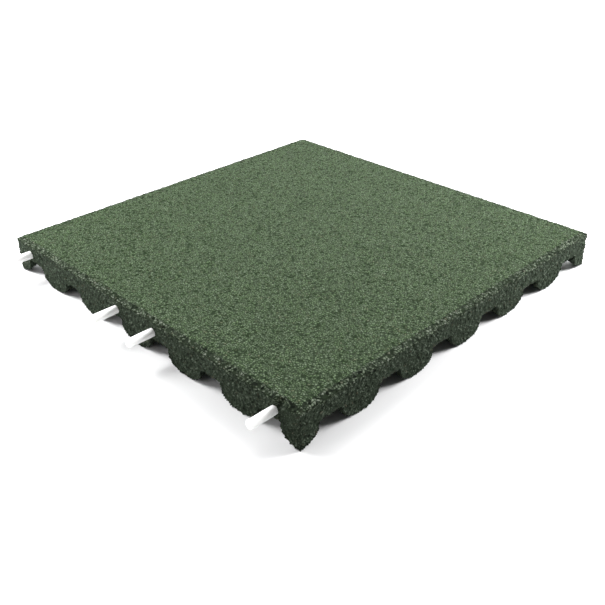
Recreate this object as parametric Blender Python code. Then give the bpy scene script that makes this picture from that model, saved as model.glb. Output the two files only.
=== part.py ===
"""Rubber safety tile: a square slab of bonded rubber granules on round feet,
with four plastic connecting pins standing out of one side.

Metres, +Z up. The tile lies as laid, feet on the ground at Z = 0, and its plan is
centred on the origin. The pins stand out of the -X side.
"""

import math

import bmesh
import bpy
from mathutils import Matrix, Vector

# The tile, as it is sold
TILE_SIDE = 0.500
TILE_THICKNESS = 0.045
CORNER_RADIUS = 0.003
CORNER_STEPS = 3

# The top edge slopes down a little towards each side
EDGE_SLOPE_WIDTH = 0.007
EDGE_SLOPE_DROP = 0.0025

# Round feet on a square grid. The outer ones are cut through their middle by the sides
FEET_PER_SIDE = 6
FOOT_SPACING = TILE_SIDE / FEET_PER_SIDE
FOOT_HEIGHT = 0.020
FOOT_RADIUS = 0.028
FOOT_ROUNDNESS = 2.5        # 2 is an ellipse, and more is squarer
FOOT_STEPS = 6
FOOT_SECTORS = 16
FOOT_ROOT = 0.006           # how far a foot's blank reaches up into the slab

# Plastic connecting pins, pushed halfway into the tile
PIN_DIAMETER = 0.0095
PIN_LENGTH = 0.060
PIN_CHAMFER = 0.0008
PIN_SECTORS = 20
PIN_HEIGHT = 0.0303
PIN_OFFSETS = (-0.217, -0.033, 0.033, 0.217)
CLEARANCE = 0.0003          # between a pin and its hole

HALF_SIDE = TILE_SIDE / 2
OVERSIZE = 0.010            # how far a blank or a cutter runs past the face that it cuts


def clear_scene():
    for thing in list(bpy.data.objects):
        bpy.data.objects.remove(thing, do_unlink=True)


def make_material(name, color, roughness):
    material = bpy.data.materials.new(name)
    material.use_nodes = True
    shader = material.node_tree.nodes["Principled BSDF"]
    shader.inputs["Base Color"].default_value = (*color, 1.0)
    shader.inputs["Roughness"].default_value = roughness
    shader.inputs["Metallic"].default_value = 0.0
    return material


def add_object(name, mesh_builder, material=None):
    """Turn a bmesh into a named object, with its faces pointing out."""
    bmesh.ops.recalc_face_normals(mesh_builder, faces=mesh_builder.faces[:])
    mesh = bpy.data.meshes.new(name)
    mesh_builder.to_mesh(mesh)
    mesh_builder.free()
    thing = bpy.data.objects.new(name, mesh)
    bpy.context.collection.objects.link(thing)
    if material is not None:
        mesh.materials.append(material)
    return thing


def hide_as_cutter(thing):
    thing.display_type = "WIRE"
    thing.hide_render = True


def add_boolean(thing, cutter, operation):
    modifier = thing.modifiers.new(operation.title(), "BOOLEAN")
    modifier.operation = operation
    modifier.solver = "EXACT"
    modifier.object = cutter


def close_ring_stack(mesh_builder, rings):
    """Join rings of points, lowest first, into one closed body with flat ends."""
    loops = []
    for ring in rings:
        loops.append([mesh_builder.verts.new(point) for point in ring])
    count = len(loops[0])
    for low, high in zip(loops, loops[1:]):
        for i in range(count):
            j = (i + 1) % count
            mesh_builder.faces.new((low[i], low[j], high[j], high[i]))
    mesh_builder.faces.new(list(reversed(loops[0])))
    mesh_builder.faces.new(loops[-1])


def rounded_square(half_side, radius, height):
    """Points round a square with rounded corners, anticlockwise from above."""
    points = []
    for quarter in range(4):
        turn = Matrix.Rotation(quarter * math.pi / 2, 3, "Z")
        for step in range(CORNER_STEPS + 1):
            angle = step / CORNER_STEPS * math.pi / 2
            x = half_side - radius + radius * math.cos(angle)
            y = half_side - radius + radius * math.sin(angle)
            points.append(turn @ Vector((x, y, height)))
    return points


def circle(radius, height, sectors, start_angle=0.0):
    points = []
    for i in range(sectors):
        angle = start_angle + i * math.tau / sectors
        points.append(Vector((radius * math.cos(angle), radius * math.sin(angle), height)))
    return points


def foot_profile():
    """Radius and height along a foot's outline, from its flat bottom up into the slab."""
    profile = []
    for step in range(1, FOOT_STEPS + 1):
        angle = step / FOOT_STEPS * math.pi / 2
        radius = FOOT_RADIUS * math.sin(angle) ** (2 / FOOT_ROUNDNESS)
        drop = FOOT_HEIGHT * math.cos(angle) ** (2 / FOOT_ROUNDNESS)
        profile.append((radius, FOOT_HEIGHT - drop))
    flat_radius = profile[0][0]
    profile[0] = (flat_radius, 0.0)
    profile.append((FOOT_RADIUS, FOOT_HEIGHT + FOOT_ROOT))
    return profile


def build_slab_blank():
    """The slab, oversize on its sides and top: the outline below cuts it to size."""
    blank = bmesh.new()
    reach = HALF_SIDE + OVERSIZE
    low = rounded_square(reach, CORNER_RADIUS, FOOT_HEIGHT)
    high = rounded_square(reach, CORNER_RADIUS, TILE_THICKNESS + OVERSIZE)
    close_ring_stack(blank, [low, high])
    return blank


def build_feet():
    """Every foot as a whole round one, on its place in the grid."""
    feet = bmesh.new()
    half_sector = math.pi / FOOT_SECTORS
    for row in range(FEET_PER_SIDE + 1):
        for column in range(FEET_PER_SIDE + 1):
            x = -HALF_SIDE + column * FOOT_SPACING
            y = -HALF_SIDE + row * FOOT_SPACING
            place = Vector((x, y, 0.0))
            rings = []
            for radius, height in foot_profile():
                ring = circle(radius, height, FOOT_SECTORS, half_sector)
                rings.append([point + place for point in ring])
            close_ring_stack(feet, rings)
    return feet


def build_outline():
    """The tile's own outline: straight sides, rounded corners and the sloped top edge."""
    outline = bmesh.new()
    slope_start = TILE_THICKNESS - EDGE_SLOPE_DROP
    rings = [
        rounded_square(HALF_SIDE, CORNER_RADIUS, -OVERSIZE),
        rounded_square(HALF_SIDE, CORNER_RADIUS, slope_start),
        rounded_square(HALF_SIDE - EDGE_SLOPE_WIDTH, CORNER_RADIUS, TILE_THICKNESS),
    ]
    close_ring_stack(outline, rings)
    return outline


def build_pin_holes():
    """Cutters for the blind holes: four that hold the pins, and four opposite them."""
    holes = bmesh.new()
    radius = PIN_DIAMETER / 2 + CLEARANCE
    depth = PIN_LENGTH / 2 + CLEARANCE
    stand_up_to_x = Matrix.Rotation(math.pi / 2, 3, "Y")
    for side in (-1, 1):
        ends = sorted((side * (HALF_SIDE - depth), side * (HALF_SIDE + OVERSIZE)))
        for offset in PIN_OFFSETS:
            rings = []
            for x in ends:
                ring = circle(radius, x, PIN_SECTORS)
                place = Vector((0.0, offset, PIN_HEIGHT))
                rings.append([stand_up_to_x @ point + place for point in ring])
            close_ring_stack(holes, rings)
    return holes


def build_tile(material):
    tile = add_object("rubber_tile", build_slab_blank(), material)
    feet = add_object("feet_blank", build_feet())
    outline = add_object("tile_outline", build_outline())
    holes = add_object("pin_hole_cutter", build_pin_holes())
    for cutter, operation in ((feet, "UNION"), (outline, "INTERSECT"), (holes, "DIFFERENCE")):
        hide_as_cutter(cutter)
        add_boolean(tile, cutter, operation)


def build_pin():
    """A round dowel along X with its middle at the origin and both ends chamfered."""
    pin = bmesh.new()
    radius = PIN_DIAMETER / 2
    half_length = PIN_LENGTH / 2
    stand_up_to_x = Matrix.Rotation(math.pi / 2, 3, "Y")
    profile = (
        (radius - PIN_CHAMFER, -half_length),
        (radius, -half_length + PIN_CHAMFER),
        (radius, half_length - PIN_CHAMFER),
        (radius - PIN_CHAMFER, half_length),
    )
    rings = []
    for ring_radius, x in profile:
        rings.append([stand_up_to_x @ point for point in circle(ring_radius, x, PIN_SECTORS)])
    close_ring_stack(pin, rings)
    return pin


def build_pins(material):
    """Four dowels that share one mesh, their middles in the plane of the -X side."""
    first = None
    for number, offset in enumerate(PIN_OFFSETS, start=1):
        name = f"connecting_pin_{number}"
        if first is None:
            first = add_object(name, build_pin(), material)
            first.data.shade_smooth()
            first.data.set_sharp_from_angle(angle=math.radians(30))
            pin = first
        else:
            pin = bpy.data.objects.new(name, first.data)
            bpy.context.collection.objects.link(pin)
        pin.location = (-HALF_SIDE, offset, PIN_HEIGHT)


clear_scene()
rubber = make_material("green_rubber_granulate", (0.110, 0.150, 0.095), 0.90)
plastic = make_material("white_pin_plastic", (0.90, 0.90, 0.88), 0.45)
build_tile(rubber)
build_pins(plastic)
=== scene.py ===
# %% [markdown]
# # A rubber safety tile
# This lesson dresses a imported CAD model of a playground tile. The real tile is rubber granules
# and binder pressed hot in one mould, so nearly all of its look is granules: pressed flat on the
# walking surface, coarse and open along its rim, and finer but just as open on the sides and the
# feet. The CAD model is loaded first and never changed. It says where every surface lies.

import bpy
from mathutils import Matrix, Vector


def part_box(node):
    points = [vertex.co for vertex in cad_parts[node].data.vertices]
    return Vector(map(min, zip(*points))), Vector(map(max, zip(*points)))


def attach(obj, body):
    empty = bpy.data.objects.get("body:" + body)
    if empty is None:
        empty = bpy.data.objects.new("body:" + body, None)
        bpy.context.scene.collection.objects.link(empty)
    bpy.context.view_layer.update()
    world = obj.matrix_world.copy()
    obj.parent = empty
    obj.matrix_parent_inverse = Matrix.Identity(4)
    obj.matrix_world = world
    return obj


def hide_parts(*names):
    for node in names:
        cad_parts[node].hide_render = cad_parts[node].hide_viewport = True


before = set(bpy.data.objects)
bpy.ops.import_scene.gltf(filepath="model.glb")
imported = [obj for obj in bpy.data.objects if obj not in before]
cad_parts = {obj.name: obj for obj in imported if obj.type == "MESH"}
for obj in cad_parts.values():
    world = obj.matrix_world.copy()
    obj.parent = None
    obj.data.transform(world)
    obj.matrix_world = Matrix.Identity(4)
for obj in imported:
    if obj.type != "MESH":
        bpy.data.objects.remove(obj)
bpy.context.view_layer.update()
tile_low, tile_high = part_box("rubber_tile")

# %% [markdown]
# ## Sizes
# Everything that follows is worked out from the tile's own box and a few real sizes of granules.
# A granule is what the sieve let through: a little over 2 mm on top, nearly 3 mm along the rim
# and about 2 mm on the sides and the feet. The rim is the sloped band round the walking surface,
# which the press squeezes least, so its granules lie open.

# %% Sizes in metres
import math

import bmesh
import bpy
import numpy as np
from mathutils import Matrix, Vector

HALF_SIDE = tile_high.x
THICKNESS = tile_high.z
TOP_GRANULE = 0.0024
RIM_GRANULE = 0.0028
SIDE_GRANULE = 0.0021
RIM_WIDTH = 0.0085
print("tile side", round(2 * HALF_SIDE, 4), "thickness", round(THICKNESS, 4))

# %% [markdown]
# ## Camera
# A camera is easiest to place by three plain angles: the way it faces, how far it looks down and
# how much it leans. They are turned into a matrix whose columns are right, up and backwards.

# %% Camera
CAMERA_PLACE = Vector((-0.6407, -0.6540, 0.4884))
CAMERA_HEADING = math.radians(45.57)
CAMERA_TILT = math.radians(-30.62)
CAMERA_LEAN = math.radians(-0.68)
IMAGE_SIDE_PX = 605
FOCAL_LENGTH_PX = 824.2
SENSOR_MM = 36.0


def camera_matrix(place, heading, tilt, lean):
    level_reach = math.cos(tilt)
    forward = Vector((level_reach * math.cos(heading), level_reach * math.sin(heading), math.sin(tilt)))
    level_right = forward.cross(Vector((0, 0, 1))).normalized()
    level_up = level_right.cross(forward)
    right = level_right * math.cos(lean) + level_up * math.sin(lean)
    up = level_up * math.cos(lean) - level_right * math.sin(lean)
    turn = Matrix((right, up, -forward)).transposed()
    return Matrix.Translation(place) @ turn.to_4x4()


camera_data = bpy.data.cameras.new("camera")
camera_data.sensor_width = SENSOR_MM
camera_data.lens = SENSOR_MM * FOCAL_LENGTH_PX / IMAGE_SIDE_PX
camera = bpy.data.objects.new("camera", camera_data)
camera.matrix_world = camera_matrix(CAMERA_PLACE, CAMERA_HEADING, CAMERA_TILT, CAMERA_LEAN)
bpy.context.scene.collection.objects.link(camera)
bpy.context.scene.camera = camera
print("lens", round(camera_data.lens, 2), "mm")

# %% [markdown]
# ## Floor and light
# The tile lies on a white sweep under soft lamps. The strongest hangs behind the tile, so the far
# end of the top is brightest and the near corner darkest. Two small ones stand past the far ends
# of the sides, a weak one at the left lifts the pins, and two light only the backdrop. The sweep
# is lit until it turns pure white, which leaves a faint shadow. The plain colour transform keeps
# white paper white, which the default film-like one greys.

# %% Floor
FLOOR_SIDE = 12.0
SWEEP_COLOR = (0.78, 0.78, 0.785)
SWEEP_ROUGHNESS = 0.9


def new_material(name, color, roughness):
    material = bpy.data.materials.new(name)
    material.use_nodes = True
    shader = material.node_tree.nodes["Principled BSDF"]
    shader.inputs["Base Color"].default_value = (*color, 1.0)
    shader.inputs["Roughness"].default_value = roughness
    return material, shader


floor_builder = bmesh.new()
bmesh.ops.create_grid(floor_builder, x_segments=1, y_segments=1, size=FLOOR_SIDE / 2)
floor_mesh = bpy.data.meshes.new("floor")
floor_builder.to_mesh(floor_mesh)
floor_builder.free()
floor = bpy.data.objects.new("floor", floor_mesh)
floor_finish, _ = new_material("white_sweep", SWEEP_COLOR, SWEEP_ROUGHNESS)
floor_mesh.materials.append(floor_finish)
bpy.context.scene.collection.objects.link(floor)
print("floor", FLOOR_SIDE, "m wide")

# %% Lamps
WHITE = (1.0, 1.0, 1.0, 1.0)
WORLD_STRENGTH = 0.115
# Each lamp's name, place, the point it faces, side in metres and watts.
LAMPS = (
    ("overhead_softbox", (0.4, 0.4, 1.8), (0.1, 0.1, 0.0), 1.5, 8.0),
    ("back_softbox", (0.93, 0.74, 1.08), (0.0, 0.0, 0.0), 1.1, 41.0),
    ("right_softbox", (0.82, -0.64, 0.54), (0.25, -0.25, 0.03), 0.5, 28.5),
    ("left_fill_softbox", (-1.3, 0.0, 0.7), (-0.25, -0.05, 0.03), 0.8, 4.2),
    ("left_softbox", (-0.62, 0.75, 0.62), (-0.25, 0.20, 0.03), 0.5, 21.5),
    ("left_backdrop_softbox", (0.4, 2.1, 1.1), (0.5, 2.0, 0.0), 0.8, 12.0),
    ("right_backdrop_softbox", (2.1, 0.4, 1.1), (2.0, 0.5, 0.0), 0.8, 9.0),
)
bpy.context.scene.view_settings.view_transform = "Standard"
world = bpy.data.worlds.new("studio")
world.use_nodes = True
world_light = world.node_tree.nodes["Background"]
world_light.inputs["Color"].default_value = WHITE
world_light.inputs["Strength"].default_value = WORLD_STRENGTH
bpy.context.scene.world = world


def add_softbox(name, place, target, side, watts):
    data = bpy.data.lights.new(name, "AREA")
    data.shape = "SQUARE"
    data.size = side
    data.energy = watts
    lamp = bpy.data.objects.new(name, data)
    lamp.location = place
    lamp.rotation_euler = (Vector(target) - Vector(place)).to_track_quat("-Z", "Y").to_euler()
    bpy.context.scene.collection.objects.link(lamp)


for lamp_row in LAMPS:
    add_softbox(*lamp_row)
print("lamps", [lamp_row[0] for lamp_row in LAMPS])

# %% [markdown]
# ## The granule pattern
# A crushed granule has flat facets, sharp gaps around it and its own height and shade. A Voronoi
# texture gives all of this: its cells are the granules, the distance to a cell's edge gives the
# gaps, and each cell's colour is a set of random numbers. A little noise bends the cells, so that
# they look torn and not cut. The same nodes exist for shaders and for geometry, so one function
# builds both groups, and the relief and the colours fall on the same granules.


# %% Small helpers for nodes
def add_socket(tree, name, direction, kind="NodeSocketFloat"):
    tree.interface.new_socket(name, in_out=direction, socket_type=kind)


def plug(tree, value, socket):
    """Link a node's output to a socket, or write a plain value into it."""
    if isinstance(value, bpy.types.NodeSocket):
        tree.links.new(value, socket)
    else:
        socket.default_value = value


def add_math(tree, operation, *values):
    node = tree.nodes.new("ShaderNodeMath")
    node.operation = operation
    for value, socket in zip(values, node.inputs):
        plug(tree, value, socket)
    return node.outputs[0]


def add_vector_math(tree, operation, first, second):
    node = tree.nodes.new("ShaderNodeVectorMath")
    node.operation = operation
    plug(tree, first, node.inputs[0])
    plug(tree, second, node.inputs["Scale"] if operation == "SCALE" else node.inputs[1])
    return node.outputs["Vector"]


def add_ramp(tree, value, low, high):
    """A soft step from 0 at low to 1 at high."""
    node = tree.nodes.new("ShaderNodeMapRange")
    node.interpolation_type = "SMOOTHSTEP"
    plug(tree, value, node.inputs["Value"])
    plug(tree, low, node.inputs["From Min"])
    plug(tree, high, node.inputs["From Max"])
    return node.outputs["Result"]


def add_noise(tree, place, scale, detail):
    node = tree.nodes.new("ShaderNodeTexNoise")
    plug(tree, place, node.inputs["Vector"])
    plug(tree, scale, node.inputs["Scale"])
    plug(tree, detail, node.inputs["Detail"])
    return node


# %% Granules of one size
PATTERN_VALUES = ("Height", "Shade", "Kind")
GAP_SHARE = 0.37
CELL_BEND = 0.7
NOISE_MIDDLE = (0.5, 0.5, 0.5)


def build_granules(kind):
    """How high each place stands, and two random numbers for its granule."""
    tree = bpy.data.node_groups.new("granules", kind)
    add_socket(tree, "Place", "INPUT", "NodeSocketVector")
    add_socket(tree, "Granule Size", "INPUT")
    add_socket(tree, "Level Share", "INPUT")
    for name in PATTERN_VALUES:
        add_socket(tree, name, "OUTPUT")
    start = tree.nodes.new("NodeGroupInput")
    end = tree.nodes.new("NodeGroupOutput")
    place = start.outputs["Place"]
    size = start.outputs["Granule Size"]
    per_metre = add_math(tree, "DIVIDE", 1.0, size)
    bend = add_noise(tree, place, per_metre, 1.0)
    centred = add_vector_math(tree, "SUBTRACT", bend.outputs["Color"], NOISE_MIDDLE)
    push = add_vector_math(tree, "SCALE", centred, add_math(tree, "MULTIPLY", size, CELL_BEND))
    bent = add_vector_math(tree, "ADD", place, push)
    cells = tree.nodes.new("ShaderNodeTexVoronoi")
    edges = tree.nodes.new("ShaderNodeTexVoronoi")
    edges.feature = "DISTANCE_TO_EDGE"
    for texture in (cells, edges):
        plug(tree, bent, texture.inputs["Vector"])
        plug(tree, per_metre, texture.inputs["Scale"])
    random = tree.nodes.new("ShaderNodeSeparateXYZ")
    plug(tree, cells.outputs["Color"], random.inputs[0])
    body = add_ramp(tree, edges.outputs["Distance"], 0.0, GAP_SHARE)
    level_share = start.outputs["Level Share"]
    # Past the level share granules lie ever lower, and halfway from there to 1 they are missing.
    wholly_missing = add_math(tree, "MULTIPLY_ADD", level_share, 0.5, 0.5)
    missing = add_ramp(tree, random.outputs["X"], level_share, wholly_missing)
    stand = add_math(tree, "SUBTRACT", 1.0, missing)
    plug(tree, add_math(tree, "MULTIPLY", body, stand), end.inputs["Height"])
    plug(tree, random.outputs["Y"], end.inputs["Shade"])
    plug(tree, random.outputs["Z"], end.inputs["Kind"])
    return tree


print("granules along one side", round(2 * HALF_SIDE / TOP_GRANULE))

# %% [markdown]
# The tile has three sorts of surface: top, rim, and sides with the feet. So the group above is
# placed three times, with a size and a share of level granules for each. How far out a place lies
# tells the rim, and how far it lies below the walking surface tells the sides. Noise makes both
# borders ragged, because no granule stops at a line.

# %% Granules all over the tile
RAGGED = 0.0045
SIDE_BELOW = 0.0050
RIM_FADE = 0.001
SIDE_FADE = 0.0015
PRESSED_LEVEL = 0.86
OPEN_LEVEL = 0.60


def build_tile_granulate(kind):
    """Level granules on the walking surface, open ones on the rim, the sides and below."""
    granules = build_granules(kind)
    tree = bpy.data.node_groups.new("tile granulate", kind)
    add_socket(tree, "Place", "INPUT", "NodeSocketVector")
    for name in (*PATTERN_VALUES, "Open", "Side"):
        add_socket(tree, name, "OUTPUT")
    start = tree.nodes.new("NodeGroupInput")
    end = tree.nodes.new("NodeGroupOutput")
    place = start.outputs["Place"]
    axes = tree.nodes.new("ShaderNodeSeparateXYZ")
    plug(tree, place, axes.inputs[0])
    across = add_math(tree, "ABSOLUTE", axes.outputs["X"])
    along = add_math(tree, "ABSOLUTE", axes.outputs["Y"])
    ragged = add_noise(tree, place, 1.0 / RAGGED, 1.0)
    shift = add_math(tree, "MULTIPLY_ADD", ragged.outputs["Fac"], RAGGED * 2, -RAGGED)
    outward = add_math(tree, "ADD", add_math(tree, "MAXIMUM", across, along), shift)
    depth = add_math(tree, "ADD", add_math(tree, "SUBTRACT", THICKNESS, axes.outputs["Z"]), shift)
    rim = add_ramp(tree, outward, HALF_SIDE - RIM_WIDTH, HALF_SIDE - RIM_WIDTH + RIM_FADE)
    side = add_ramp(tree, depth, SIDE_BELOW, SIDE_BELOW + SIDE_FADE)
    open_part = add_math(tree, "MAXIMUM", rim, side)
    layers = []
    for size, level_share in (
        (TOP_GRANULE, PRESSED_LEVEL),
        (RIM_GRANULE, OPEN_LEVEL),
        (SIDE_GRANULE, OPEN_LEVEL),
    ):
        layer = tree.nodes.new(kind.replace("NodeTree", "NodeGroup"))
        layer.node_tree = granules
        layer.inputs["Granule Size"].default_value = size
        layer.inputs["Level Share"].default_value = level_share
        plug(tree, place, layer.inputs["Place"])
        layers.append(layer)
    for name in PATTERN_VALUES:
        value = layers[0].outputs[name]
        for mask, layer in ((open_part, layers[1]), (side, layers[2])):
            blend = tree.nodes.new("ShaderNodeMix")
            plug(tree, mask, blend.inputs["Factor"])
            plug(tree, value, blend.inputs["A"])
            plug(tree, layer.outputs[name], blend.inputs["B"])
            value = blend.outputs["Result"]
        plug(tree, value, end.inputs[name])
    plug(tree, open_part, end.inputs["Open"])
    plug(tree, side, end.inputs["Side"])
    return tree


relief_pattern = build_tile_granulate("GeometryNodeTree")
shade_pattern = build_tile_granulate("ShaderNodeTree")
print("groups", [group.name for group in bpy.data.node_groups])

# %% [markdown]
# ## The moulded body
# The relief has to be real geometry, or the outline would stay straight as a ruler's edge. A copy
# of the CAD node is rebuilt from voxels into an even net of small squares, and every point then
# sinks into the body by as much as its granule lies low. It only ever sinks, so the dressed tile
# stays inside the CAD solid. Each point first keeps where it was moulded, for the colours.

# %% Even net
NET_SPACING = 0.00128


def copy_of_node(node, name):
    thing = bpy.data.objects.new(name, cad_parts[node].data.copy())
    thing.data.materials.clear()
    bpy.context.scene.collection.objects.link(thing)
    return thing


def apply_modifiers(thing):
    bpy.context.view_layer.update()
    view = bpy.context.evaluated_depsgraph_get()
    finished = bpy.data.meshes.new_from_object(thing.evaluated_get(view))
    thing.modifiers.clear()
    thing.data = finished


body = copy_of_node("rubber_tile", "moulded_body")
net = body.modifiers.new("net", "REMESH")
net.mode = "VOXEL"
net.voxel_size = NET_SPACING
apply_modifiers(body)
print("net", len(body.data.polygons), "squares")

# %% Granule relief
TOP_RELIEF = 0.0007
RIM_RELIEF = 0.0011
SIDE_RELIEF = 0.0017
# Even the highest granule sinks by this share of the relief, so none stands proud.
ALWAYS_SUNK = 0.02


def build_relief():
    """Geometry nodes that sink each point by its granule's depth."""
    tree = bpy.data.node_groups.new("granule relief", "GeometryNodeTree")
    add_socket(tree, "Geometry", "INPUT", "NodeSocketGeometry")
    add_socket(tree, "Geometry", "OUTPUT", "NodeSocketGeometry")
    start = tree.nodes.new("NodeGroupInput")
    end = tree.nodes.new("NodeGroupOutput")
    place = tree.nodes.new("GeometryNodeInputPosition")
    normal = tree.nodes.new("GeometryNodeInputNormal")
    keep = tree.nodes.new("GeometryNodeStoreNamedAttribute")
    keep.data_type = "FLOAT_VECTOR"
    keep.inputs["Name"].default_value = "as_moulded"
    plug(tree, start.outputs["Geometry"], keep.inputs["Geometry"])
    plug(tree, place.outputs["Position"], keep.inputs["Value"])
    pattern = tree.nodes.new("GeometryNodeGroup")
    pattern.node_tree = relief_pattern
    plug(tree, place.outputs["Position"], pattern.inputs["Place"])
    low = add_math(tree, "SUBTRACT", pattern.outputs["Height"], 1.0 + ALWAYS_SUNK)
    depth = TOP_RELIEF
    for mask, deepest in (("Open", RIM_RELIEF), ("Side", SIDE_RELIEF)):
        deeper = tree.nodes.new("ShaderNodeMix")
        plug(tree, pattern.outputs[mask], deeper.inputs["Factor"])
        plug(tree, depth, deeper.inputs["A"])
        plug(tree, deepest, deeper.inputs["B"])
        depth = deeper.outputs["Result"]
    sink = add_math(tree, "MULTIPLY", low, depth)
    move = tree.nodes.new("GeometryNodeSetPosition")
    plug(tree, keep.outputs["Geometry"], move.inputs["Geometry"])
    plug(tree, add_vector_math(tree, "SCALE", normal.outputs["Normal"], sink), move.inputs["Offset"])
    plug(tree, move.outputs["Geometry"], end.inputs["Geometry"])
    return tree


relief = body.modifiers.new("relief", "NODES")
relief.node_group = build_relief()
apply_modifiers(body)
print("relief on", len(body.data.vertices), "points")

# %% [markdown]
# ## Tight pin holes
# The mould forms each pin hole round a smooth steel rod, so its wall has no relief and the pin
# sits tight in it. The points near a hole's axis therefore go back to where they were moulded.

# %% Points of the net
HOLE_SKIN = 0.0008
HOLE_BLEND = 0.0012


def read_points(collection, key, width=3):
    values = np.empty(len(collection) * width, np.float32)
    collection.foreach_get(key, values)
    return values.reshape(-1, width)


moulded = read_points(body.data.attributes["as_moulded"].data, "vector")
sunk = read_points(body.data.vertices, "co")
pin_nodes = sorted(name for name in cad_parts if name.startswith("connecting_pin"))
relief_share = np.ones(len(moulded), np.float32)
for node in pin_nodes:
    low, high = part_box(node)
    centre = (low + high) / 2
    from_axis = np.hypot(moulded[:, 1] - centre.y, moulded[:, 2] - centre.z)
    past_wall = from_axis - (high.z - low.z) / 2 - HOLE_SKIN
    relief_share = np.minimum(relief_share, np.clip(past_wall / HOLE_BLEND, 0, 1))
placed = moulded + (sunk - moulded) * relief_share[:, None]
print("kept smooth", int((relief_share < 1).sum()), "points")

# %% [markdown]
# One mouth is not so neat: the granules above the first pin have broken out, which bares more of
# the pin. Such a chip is a smooth dent, deepest in its middle, pushed straight into the side.

# %% Broken mouth of the first hole
CHIP_PLACE = Vector((-HALF_SIDE, -0.2245, 0.0400))
CHIP_RADIUS = 0.0085
CHIP_DEPTH = 0.0040
CHIP_CURVE = 1.5

from_chip = np.linalg.norm(moulded - np.array(CHIP_PLACE, np.float32), axis=1)
dent = np.clip(1 - (from_chip / CHIP_RADIUS) ** 2, 0, 1) ** CHIP_CURVE
placed[:, 0] += dent * CHIP_DEPTH
body.data.vertices.foreach_set("co", placed.ravel())
body.data.update()
print("chipped", int((dent > 0).sum()), "points")

# %% [markdown]
# ## Cutting the body into pieces
# One net of nearly 900,000 triangles is slow to handle, so it is cut into pieces that meet point
# to point: four quarters of the top, the four sides, and four quarters of the underside.
# Each piece keeps the whole net's normals, so no seam shows where two of them meet, and it gets
# a flat map, looked at square on, for when its colours are baked into an image.

# %% Which piece each square belongs to
SIDE_SKIN = 0.0025
EDGE_DROP = 0.0035
QUARTERS = ("pins_front", "pins_back", "holes_front", "holes_back")
SIDES = ("pins", "holes", "front", "back")

squares = read_points(body.data.loops, "vertex_index", 1).astype(np.int32).reshape(-1, 4)
middle = moulded[squares].mean(axis=1)
outward = np.abs(middle[:, :2]).max(axis=1)
is_top = middle[:, 2] > THICKNESS - EDGE_DROP
is_side = ~is_top & (outward > HALF_SIDE - SIDE_SKIN)
quarter = 2 * (middle[:, 0] > 0) + (middle[:, 1] > 0)
faces_x = np.abs(middle[:, 0]) > np.abs(middle[:, 1])
side = np.where(faces_x, middle[:, 0] > 0, 2 + (middle[:, 1] > 0))
piece_faces = {}
for number, name in enumerate(QUARTERS):
    piece_faces[f"top_{name}"] = is_top & (quarter == number)
    piece_faces[f"underside_{name}"] = ~is_top & ~is_side & (quarter == number)
for number, name in enumerate(SIDES):
    piece_faces[f"side_{name}"] = is_side & (side == number)
print("pieces", len(piece_faces))

# %% Cut them
normals = read_points(body.data.vertex_normals, "vector")


def flat_map_axes(name):
    """The two axes that a piece is looked at along when it is laid flat."""
    if name in ("side_pins", "side_holes"):
        return 1, 2
    return (0, 2) if name.startswith("side") else (0, 1)


def cut_piece(name, chosen):
    used, corners = np.unique(squares[chosen], return_inverse=True)
    mesh = bpy.data.meshes.new(name)
    mesh.from_pydata(placed[used], [], corners.reshape(-1, 4))
    kept_place = mesh.attributes.new("as_moulded", "FLOAT_VECTOR", "POINT")
    kept_place.data.foreach_set("vector", moulded[used].ravel())
    flat = moulded[used][:, flat_map_axes(name)]
    flat = (flat - flat.min(axis=0)) / (flat.max(axis=0) - flat.min(axis=0))
    flat_map = mesh.uv_layers.new(name="OFBake")
    flat_map.data.foreach_set("uv", flat[corners.ravel()].astype(np.float32).ravel())
    mesh.shade_smooth()
    mesh.normals_split_custom_set_from_vertices(normals[used])
    piece = bpy.data.objects.new(name, mesh)
    bpy.context.scene.collection.objects.link(piece)
    return piece


tile_pieces = []
for name, chosen in piece_faces.items():
    piece = cut_piece(name, chosen)
    piece.name = f"granulate_{name}"
    tile_pieces.append(piece)
    print(piece.name, 2 * len(piece.data.polygons), "triangles")
bpy.data.objects.remove(body)

# %% [markdown]
# ## Rubber finish
# The colour is mostly the granules' own: green pigment on crushed tyre rubber, so most are green,
# some nearly black and a few pale or brown. The press smears green binder over the top, and the
# sides, which touched the mould's walls, are more closed and show more bare black rubber. Low
# granules and gaps are darkened with painted shade, because little light gets down to them, and
# this painted shade is weaker on the more closed sides. Crumbled rubber has next to no gloss: a real
# sheen would turn its dark granules grey. The bump repeats the pattern finer than the net.

# %% Shades of the granules
BROWN_SHADE = (0.11, 0.09, 0.065, 1.0)
# Painted shade: the colour that low granules and gaps are darkened towards.
PAINTED_GAP_SHADE = (0.10, 0.13, 0.09, 1.0)
TOP_SHADES = (
    (0.00, (0.065, 0.101, 0.049)),
    (0.20, (0.083, 0.122, 0.064)),
    (0.55, (0.094, 0.132, 0.076)),
    (0.85, (0.103, 0.139, 0.086)),
    (1.00, (0.112, 0.146, 0.097)),
)
RIM_SHADES = (
    (0.00, (0.016, 0.025, 0.014)),
    (0.25, (0.068, 0.090, 0.058)),
    (0.55, (0.112, 0.140, 0.098)),
    (0.80, (0.132, 0.157, 0.117)),
    (1.00, (0.152, 0.173, 0.138)),
)
SIDE_SHADES = (
    (0.00, (0.019, 0.026, 0.017)),
    (0.30, (0.044, 0.059, 0.040)),
    (0.65, (0.065, 0.084, 0.060)),
    (0.92, (0.079, 0.099, 0.073)),
    (1.00, (0.094, 0.115, 0.087)),
)


def add_shades(tree, factor, stops):
    node = tree.nodes.new("ShaderNodeValToRGB")
    ramp = node.color_ramp
    while len(ramp.elements) < len(stops):
        ramp.elements.new(1.0)
    for element, (position, color) in zip(ramp.elements, stops):
        element.position = position
        element.color = (*color, 1.0)
    plug(tree, factor, node.inputs["Fac"])
    return node.outputs["Color"]


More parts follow.
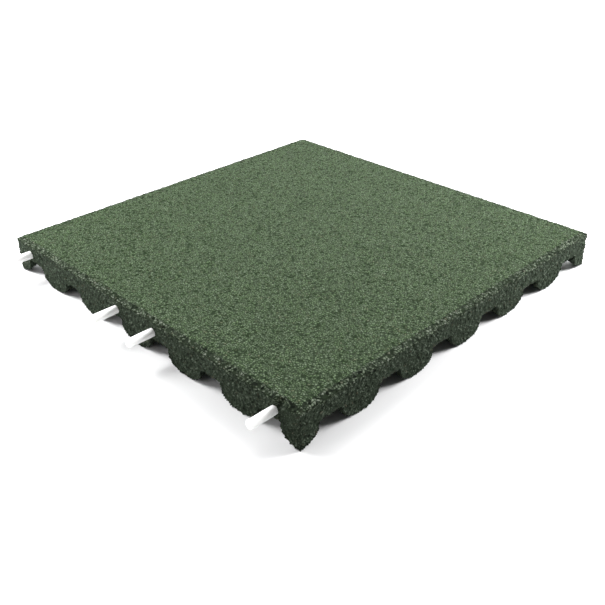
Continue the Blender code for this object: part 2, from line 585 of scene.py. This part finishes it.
def add_color_mix(tree, blend_type, factor, first, second):
    node = tree.nodes.new("ShaderNodeMix")
    node.data_type = "RGBA"
    node.blend_type = blend_type
    sockets = {socket.name: socket for socket in node.inputs if socket.enabled}
    plug(tree, factor, sockets["Factor"])
    plug(tree, first, sockets["A"])
    plug(tree, second, sockets["B"])
    return [socket for socket in node.outputs if socket.enabled][0]


print("shades", [len(shades) for shades in (TOP_SHADES, RIM_SHADES, SIDE_SHADES)])

# %% Rubber material
PLAIN_GREEN = (0.1, 0.14, 0.09)
PLAIN_ROUGHNESS = 0.75
SPECULAR_LEVEL = 0.04
MOTTLES_PER_METRE = 22.0
MOTTLE_DETAIL = 3.0
MOTTLE = 0.10
BROWN_ABOVE = 0.97
BROWN_SHARE = 0.35
# How much weaker the painted shade of low granules and gaps is on the sides.
SIDE_PAINTED_SHADE_CUT = 0.24
LEAST_ROUGH = 0.60
ROUGHNESS_SPREAD = 0.30
BUMP_DEPTH = 0.00042


def rubber_material():
    material, shader = new_material("green_rubber_granulate", PLAIN_GREEN, PLAIN_ROUGHNESS)
    shader.inputs["Specular IOR Level"].default_value = SPECULAR_LEVEL
    tree = material.node_tree
    place = tree.nodes.new("ShaderNodeAttribute")
    place.attribute_name = "as_moulded"
    pattern = tree.nodes.new("ShaderNodeGroup")
    pattern.node_tree = shade_pattern
    plug(tree, place.outputs["Vector"], pattern.inputs["Place"])
    mottle = add_noise(tree, place.outputs["Vector"], MOTTLES_PER_METRE, MOTTLE_DETAIL)
    blotch = add_math(tree, "MULTIPLY_ADD", mottle.outputs["Fac"], MOTTLE, -MOTTLE / 2)
    shade = add_math(tree, "ADD", pattern.outputs["Shade"], blotch)
    top = add_shades(tree, shade, TOP_SHADES)
    rim = add_shades(tree, shade, RIM_SHADES)
    below = add_shades(tree, shade, SIDE_SHADES)
    upper = add_color_mix(tree, "MIX", pattern.outputs["Open"], top, rim)
    granule = add_color_mix(tree, "MIX", pattern.outputs["Side"], upper, below)
    brown = add_math(tree, "GREATER_THAN", pattern.outputs["Kind"], BROWN_ABOVE)
    some_brown = add_math(tree, "MULTIPLY", brown, BROWN_SHARE)
    toned = add_color_mix(tree, "MIX", some_brown, granule, BROWN_SHADE)
    # Painted shade: low granules and gaps are darkened in the colour, because little light gets down to
    # them, less so on the sides.
    low = add_math(tree, "SUBTRACT", 1.0, pattern.outputs["Height"])
    painted_shade_weight = add_math(tree, "MULTIPLY_ADD", pattern.outputs["Side"], -SIDE_PAINTED_SHADE_CUT, 1.0)
    painted_shade_amount = add_math(tree, "MULTIPLY", low, painted_shade_weight)
    finished = add_color_mix(tree, "MULTIPLY", painted_shade_amount, toned, PAINTED_GAP_SHADE)
    plug(tree, finished, shader.inputs["Base Color"])
    kind = pattern.outputs["Kind"]
    roughness = add_math(tree, "MULTIPLY_ADD", kind, ROUGHNESS_SPREAD, LEAST_ROUGH)
    plug(tree, roughness, shader.inputs["Roughness"])
    bump = tree.nodes.new("ShaderNodeBump")
    bump.inputs["Distance"].default_value = BUMP_DEPTH
    plug(tree, pattern.outputs["Height"], bump.inputs["Height"])
    plug(tree, bump.outputs["Normal"], shader.inputs["Normal"])
    return material


rubber = rubber_material()
for piece in tile_pieces:
    piece.data.materials.append(rubber)
    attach(piece, "root")
    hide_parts("rubber_tile")
print("finish", rubber.name, "on", len(tile_pieces), "pieces")

# %% [markdown]
# ## Connecting pins
# Four plain dowels of moulded plastic, pushed halfway into the tile. Each is turned: a profile of
# distance along the pin and radius is swept round the axis. The profile's ends are quarter
# circles, because a sharp edge catches no light and looks unreal.

# %% Pin shape
PIN_SECTORS = 48
END_ROUNDING = 0.0009
END_STEPS = 5
SHARP_FROM = math.radians(40)


def pin_profile(radius, half_length):
    """Distance along the pin and radius, from one end to the other."""
    end = []
    for step in range(END_STEPS + 1):
        angle = step / END_STEPS * math.pi / 2
        along = half_length - END_ROUNDING * (1 - math.cos(angle))
        end.append((along, radius - END_ROUNDING * (1 - math.sin(angle))))
    return end + [(-along, across) for along, across in reversed(end)]


def build_pin(name, low, high):
    builder = bmesh.new()
    loops = []
    for along, across in pin_profile((high.z - low.z) / 2, (high.x - low.x) / 2):
        ring = []
        for sector in range(PIN_SECTORS):
            turn = sector / PIN_SECTORS * math.tau
            ring.append(builder.verts.new((along, across * math.cos(turn), across * math.sin(turn))))
        loops.append(ring)
    for near, far in zip(loops, loops[1:]):
        for i in range(PIN_SECTORS):
            j = (i + 1) % PIN_SECTORS
            builder.faces.new((near[i], near[j], far[j], far[i]))
    builder.faces.new(loops[0])
    builder.faces.new(loops[-1])
    bmesh.ops.recalc_face_normals(builder, faces=builder.faces[:])
    bmesh.ops.translate(builder, vec=(low + high) / 2, verts=builder.verts[:])
    mesh = bpy.data.meshes.new(name)
    builder.to_mesh(mesh)
    builder.free()
    mesh.shade_smooth()
    mesh.set_sharp_from_angle(angle=SHARP_FROM)
    pin = bpy.data.objects.new(name, mesh)
    bpy.context.scene.collection.objects.link(pin)
    return pin


print("pin profile of", 2 * (END_STEPS + 1), "points, swept in", PIN_SECTORS, "steps")

# %% [markdown]
# White polypropylene is never quite even: handling scuffs it, so fine noise changes its gloss and
# its tint a little. It also lets light in a few millimetres deep, which softens its shaded half.

# %% Pin finish
PLAIN_WHITE = (0.90, 0.90, 0.89)
PLAIN_PIN_ROUGHNESS = 0.42
CLEAN_WHITE = (0.94, 0.94, 0.935, 1.0)
HANDLED_WHITE = (0.88, 0.88, 0.865, 1.0)
SCUFFS_PER_METRE = 260.0
SCUFF_DETAIL = 4.0
SCUFF_ROUGHNESS = 0.25
UNSCUFFED_ROUGHNESS = 0.30
LIGHT_SHARE = 0.6
LIGHT_DEPTH = 0.005
EVEN_RADIUS = (1.0, 1.0, 1.0)


def pin_plastic():
    material, shader = new_material("white_pin_plastic", PLAIN_WHITE, PLAIN_PIN_ROUGHNESS)
    shader.inputs["Subsurface Weight"].default_value = LIGHT_SHARE
    shader.inputs["Subsurface Radius"].default_value = EVEN_RADIUS
    shader.inputs["Subsurface Scale"].default_value = LIGHT_DEPTH
    tree = material.node_tree
    place = tree.nodes.new("ShaderNodeTexCoord")
    noise = add_noise(tree, place.outputs["Object"], SCUFFS_PER_METRE, SCUFF_DETAIL)
    scuff = noise.outputs["Fac"]
    roughness = add_math(tree, "MULTIPLY_ADD", scuff, SCUFF_ROUGHNESS, UNSCUFFED_ROUGHNESS)
    plug(tree, roughness, shader.inputs["Roughness"])
    tint = add_color_mix(tree, "MIX", scuff, CLEAN_WHITE, HANDLED_WHITE)
    plug(tree, tint, shader.inputs["Base Color"])
    return material


plastic = pin_plastic()
for node in pin_nodes:
    pin = build_pin(f"white_{node}", *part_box(node))
    pin.data.materials.append(plastic)
    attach(pin, "root")
    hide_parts(node)
print("pins", pin_nodes)
